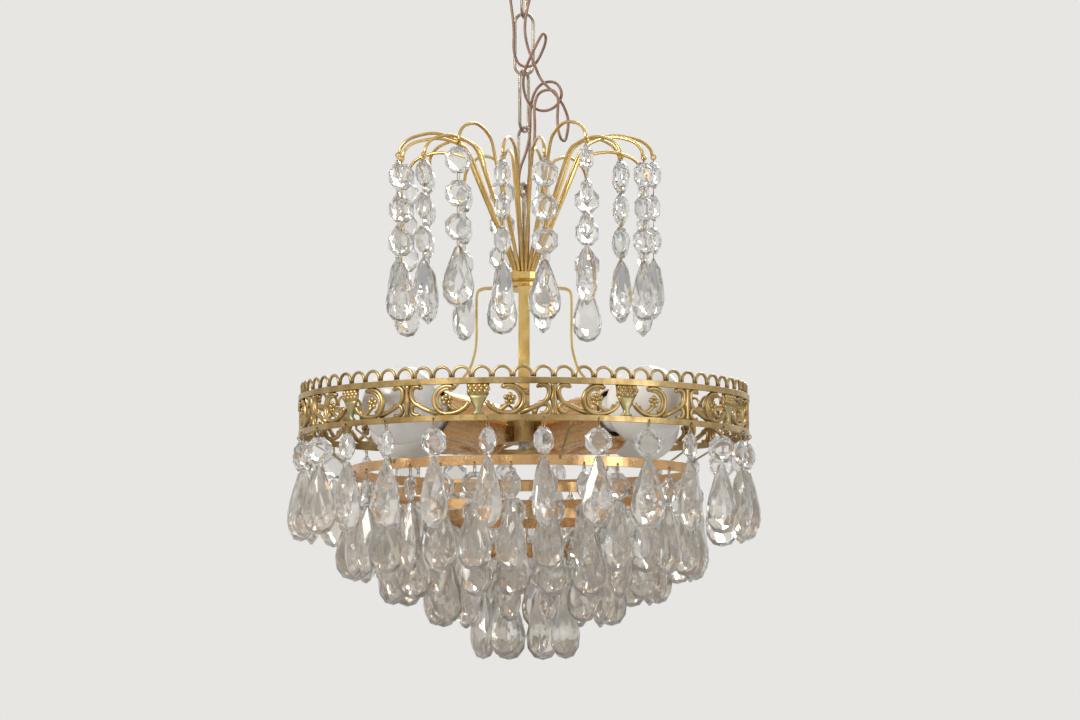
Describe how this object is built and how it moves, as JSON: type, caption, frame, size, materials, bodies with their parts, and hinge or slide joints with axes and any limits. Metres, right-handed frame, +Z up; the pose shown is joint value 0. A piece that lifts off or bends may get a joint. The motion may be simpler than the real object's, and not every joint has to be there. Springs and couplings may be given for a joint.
{
  "type": "chandelier",
  "caption": "Chain-hung crystal basket chandelier: a crown of arched rods over a pierced ring with tiers of glass drops.",
  "frame": {"origin": "middle of the mounting bar's upper face, on the ceiling", "axes": "+Z up, away from the room; the long side of the mounting bar along X; the viewer of the picture on the -Y side"},
  "size_m": [0.3621, 0.3656, 0.5975],
  "materials": {
    "steel": "satin",
    "chain_brass": "satin",
    "lacquered_brass": "gloss",
    "aged_brass": "satin",
    "crystal": "gloss",
    "opal_glass": "satin",
    "wire_cover": "matte",
    "holder_plastic": "matte"
  },
  "bodies": {
    "ceiling": {"canopy": "lacquered_brass", "canopy_loop": "chain_brass", "canopy_nipple": "steel", "ceiling_bar": "steel", "lamp_wire_1": "wire_cover", "lamp_wire_2": "wire_cover", "nipple_nut": "steel", "wire_bushes": "holder_plastic"},
    "frame": {"bottom_rail": "aged_brass", "clamp_washer": "steel", "crown_arms": "lacquered_brass", "crown_cup": "lacquered_brass", "frame_nut": "steel", "frame_straps": "lacquered_brass", "gallery_band": "aged_brass", "hanger_rod": "chain_brass", "holder_covers": "lacquered_brass", "hub_nut": "steel", "lamp_hub": "aged_brass", "lampholders": "holder_plastic", "main_strands": "crystal", "strap_disc": "lacquered_brass", "strap_rivets": "lacquered_brass", "tier_2_strands": "crystal", "tier_3_strands": "crystal", "tier_4_strands": "crystal", "tier_5_strands": "crystal", "tier_hooks": "aged_brass", "tier_ring_2": "aged_brass", "tier_ring_3": "aged_brass", "tier_ring_4": "aged_brass", "tier_ring_5": "aged_brass", "top_rail": "aged_brass"},
    "bulb_1": {"bulb_1": "opal_glass"},
    "bulb_2": {"bulb_2": "opal_glass"},
    "bulb_3": {"bulb_3": "opal_glass"},
    "bulb_4": {"bulb_4": "opal_glass"},
    "chain_link_1": {"chain_link_1": "chain_brass"},
    "chain_link_2": {"chain_link_2": "chain_brass"},
    "chain_link_3": {"chain_link_3": "chain_brass"},
    "chain_link_4": {"chain_link_4": "chain_brass"},
    "crown_strand_01": {"crown_strand_01": "crystal"},
    "crown_strand_02": {"crown_strand_02": "crystal"},
    "crown_strand_03": {"crown_strand_03": "crystal"},
    "crown_strand_04": {"crown_strand_04": "crystal"},
    "crown_strand_05": {"crown_strand_05": "crystal"},
    "crown_strand_06": {"crown_strand_06": "crystal"},
    "crown_strand_07": {"crown_strand_07": "crystal"},
    "crown_strand_08": {"crown_strand_08": "crystal"},
    "crown_strand_09": {"crown_strand_09": "crystal"},
    "crown_strand_10": {"crown_strand_10": "crystal"},
    "crown_strand_11": {"crown_strand_11": "crystal"},
    "crown_strand_12": {"crown_strand_12": "crystal"},
    "crown_strand_13": {"crown_strand_13": "crystal"},
    "crown_strand_14": {"crown_strand_14": "crystal"},
    "crown_strand_15": {"crown_strand_15": "crystal"},
    "crown_strand_16": {"crown_strand_16": "crystal"},
    "crown_strand_17": {"crown_strand_17": "crystal"},
    "crown_strand_18": {"crown_strand_18": "crystal"}
  },
  "joints": [
    {"name": "chain_hinge_1", "type": "hinge", "parent": "ceiling", "child": "chain_link_1", "pos_m": [0, 0, -0.058], "axis": [1, 0, 0], "range_deg": [-10, 10], "deforming": ["lamp_wire_1", "lamp_wire_2"]},
    {"name": "chain_hinge_2", "type": "hinge", "parent": "chain_link_1", "child": "chain_link_2", "pos_m": [0, 0, -0.1019], "axis": [0.2419, 0.9703, 0], "range_deg": [-10, 10], "deforming": ["lamp_wire_1", "lamp_wire_2"]},
    {"name": "chain_hinge_3", "type": "hinge", "parent": "chain_link_2", "child": "chain_link_3", "pos_m": [0, 0, -0.1463], "axis": [1, 0, 0], "range_deg": [-10, 10], "deforming": ["lamp_wire_1", "lamp_wire_2"]},
    {"name": "chain_hinge_4", "type": "hinge", "parent": "chain_link_3", "child": "chain_link_4", "pos_m": [0, 0, -0.1907], "axis": [0.4695, 0.8829, 0], "range_deg": [-10, 10], "deforming": ["lamp_wire_1", "lamp_wire_2"]},
    {"name": "chain_hinge_5", "type": "hinge", "parent": "chain_link_4", "child": "frame", "pos_m": [0, 0, -0.2351], "axis": [0.6157, -0.788, 0], "range_deg": [-10, 10], "deforming": ["lamp_wire_1", "lamp_wire_2"]},
    {"name": "crown_strand_hinge_01", "type": "hinge", "parent": "frame", "child": "crown_strand_01", "pos_m": [0.0159, -0.09671, -0.22156], "axis": [0.9848, 0.1736, 0], "range_deg": [-10, 10]},
    {"name": "crown_strand_hinge_02", "type": "hinge", "parent": "frame", "child": "crown_strand_02", "pos_m": [0.04764, -0.08784, -0.20859], "axis": [0.866, 0.5, 0], "range_deg": [-10, 10]},
    {"name": "crown_strand_hinge_03", "type": "hinge", "parent": "frame", "child": "crown_strand_03", "pos_m": [0.07407, -0.06229, -0.21783], "axis": [0.6428, 0.766, 0], "range_deg": [-10, 10]},
    {"name": "crown_strand_hinge_04", "type": "hinge", "parent": "frame", "child": "crown_strand_04", "pos_m": [0.09189, -0.03086, -0.21496], "axis": [0.342, 0.9397, 0], "range_deg": [-10, 10]},
    {"name": "crown_strand_hinge_05", "type": "hinge", "parent": "frame", "child": "crown_strand_05", "pos_m": [0.09994, 0.00147, -0.21063], "axis": [0, 1, 0], "range_deg": [-10, 10]},
    {"name": "crown_strand_hinge_06", "type": "hinge", "parent": "frame", "child": "crown_strand_06", "pos_m": [0.09249, 0.03199, -0.22092], "axis": [-0.342, 0.9397, 0], "range_deg": [-10, 10]},
    {"name": "crown_strand_hinge_07", "type": "hinge", "parent": "frame", "child": "crown_strand_07", "pos_m": [0.07526, 0.0599, -0.20762], "axis": [-0.6428, 0.766, 0], "range_deg": [-10, 10]},
    {"name": "crown_strand_hinge_08", "type": "hinge", "parent": "frame", "child": "crown_strand_08", "pos_m": [0.04931, 0.08624, -0.22013], "axis": [-0.866, 0.5, 0], "range_deg": [-10, 10]},
    {"name": "crown_strand_hinge_09", "type": "hinge", "parent": "frame", "child": "crown_strand_09", "pos_m": [0.0146, 0.09793, -0.21199], "axis": [-0.9848, 0.1736, 0], "range_deg": [-10, 10]},
    {"name": "crown_strand_hinge_10", "type": "hinge", "parent": "frame", "child": "crown_strand_10", "pos_m": [-0.01759, 0.09441, -0.21343], "axis": [-0.9848, -0.1736, 0], "range_deg": [-10, 10]},
    {"name": "crown_strand_hinge_11", "type": "hinge", "parent": "frame", "child": "crown_strand_11", "pos_m": [-0.04745, 0.08611, -0.2191], "axis": [-0.866, -0.5, 0], "range_deg": [-10, 10]},
    {"name": "crown_strand_hinge_12", "type": "hinge", "parent": "frame", "child": "crown_strand_12", "pos_m": [-0.07504, 0.06579, -0.20794], "axis": [-0.6428, -0.766, 0], "range_deg": [-10, 10]},
    {"name": "crown_strand_hinge_13", "type": "hinge", "parent": "frame", "child": "crown_strand_13", "pos_m": [-0.09104, 0.03217, -0.22139], "axis": [-0.342, -0.9397, 0], "range_deg": [-10, 10]},
    {"name": "crown_strand_hinge_14", "type": "hinge", "parent": "frame", "child": "crown_strand_14", "pos_m": [-0.09716, -0.00269, -0.2095], "axis": [0, -1, 0], "range_deg": [-10, 10]},
    {"name": "crown_strand_hinge_15", "type": "hinge", "parent": "frame", "child": "crown_strand_15", "pos_m": [-0.09383, -0.03455, -0.21643], "axis": [0.342, -0.9397, 0], "range_deg": [-10, 10]},
    {"name": "crown_strand_hinge_16", "type": "hinge", "parent": "frame", "child": "crown_strand_16", "pos_m": [-0.0762, -0.06095, -0.21645], "axis": [0.6428, -0.766, 0], "range_deg": [-10, 10]},
    {"name": "crown_strand_hinge_17", "type": "hinge", "parent": "frame", "child": "crown_strand_17", "pos_m": [-0.04964, -0.08254, -0.20949], "axis": [0.866, -0.5, 0], "range_deg": [-10, 10]},
    {"name": "crown_strand_hinge_18", "type": "hinge", "parent": "frame", "child": "crown_strand_18", "pos_m": [-0.01595, -0.09827, -0.2214], "axis": [0.9848, -0.1736, 0], "range_deg": [-10, 10]},
    {"name": "bulb_turn_1", "type": "hinge", "parent": "frame", "child": "bulb_1", "pos_m": [0.09192, 0.09192, -0.41055], "axis": [0.7018, 0.7018, 0.1219], "continuous": true},
    {"name": "bulb_turn_2", "type": "hinge", "parent": "frame", "child": "bulb_2", "pos_m": [-0.09192, 0.09192, -0.41055], "axis": [-0.7018, 0.7018, 0.1219], "continuous": true},
    {"name": "bulb_turn_3", "type": "hinge", "parent": "frame", "child": "bulb_3", "pos_m": [-0.09192, -0.09192, -0.41055], "axis": [-0.7018, -0.7018, 0.1219], "continuous": true},
    {"name": "bulb_turn_4", "type": "hinge", "parent": "frame", "child": "bulb_4", "pos_m": [0.09192, -0.09192, -0.41055], "axis": [0.7018, -0.7018, 0.1219], "continuous": true}
  ]
}
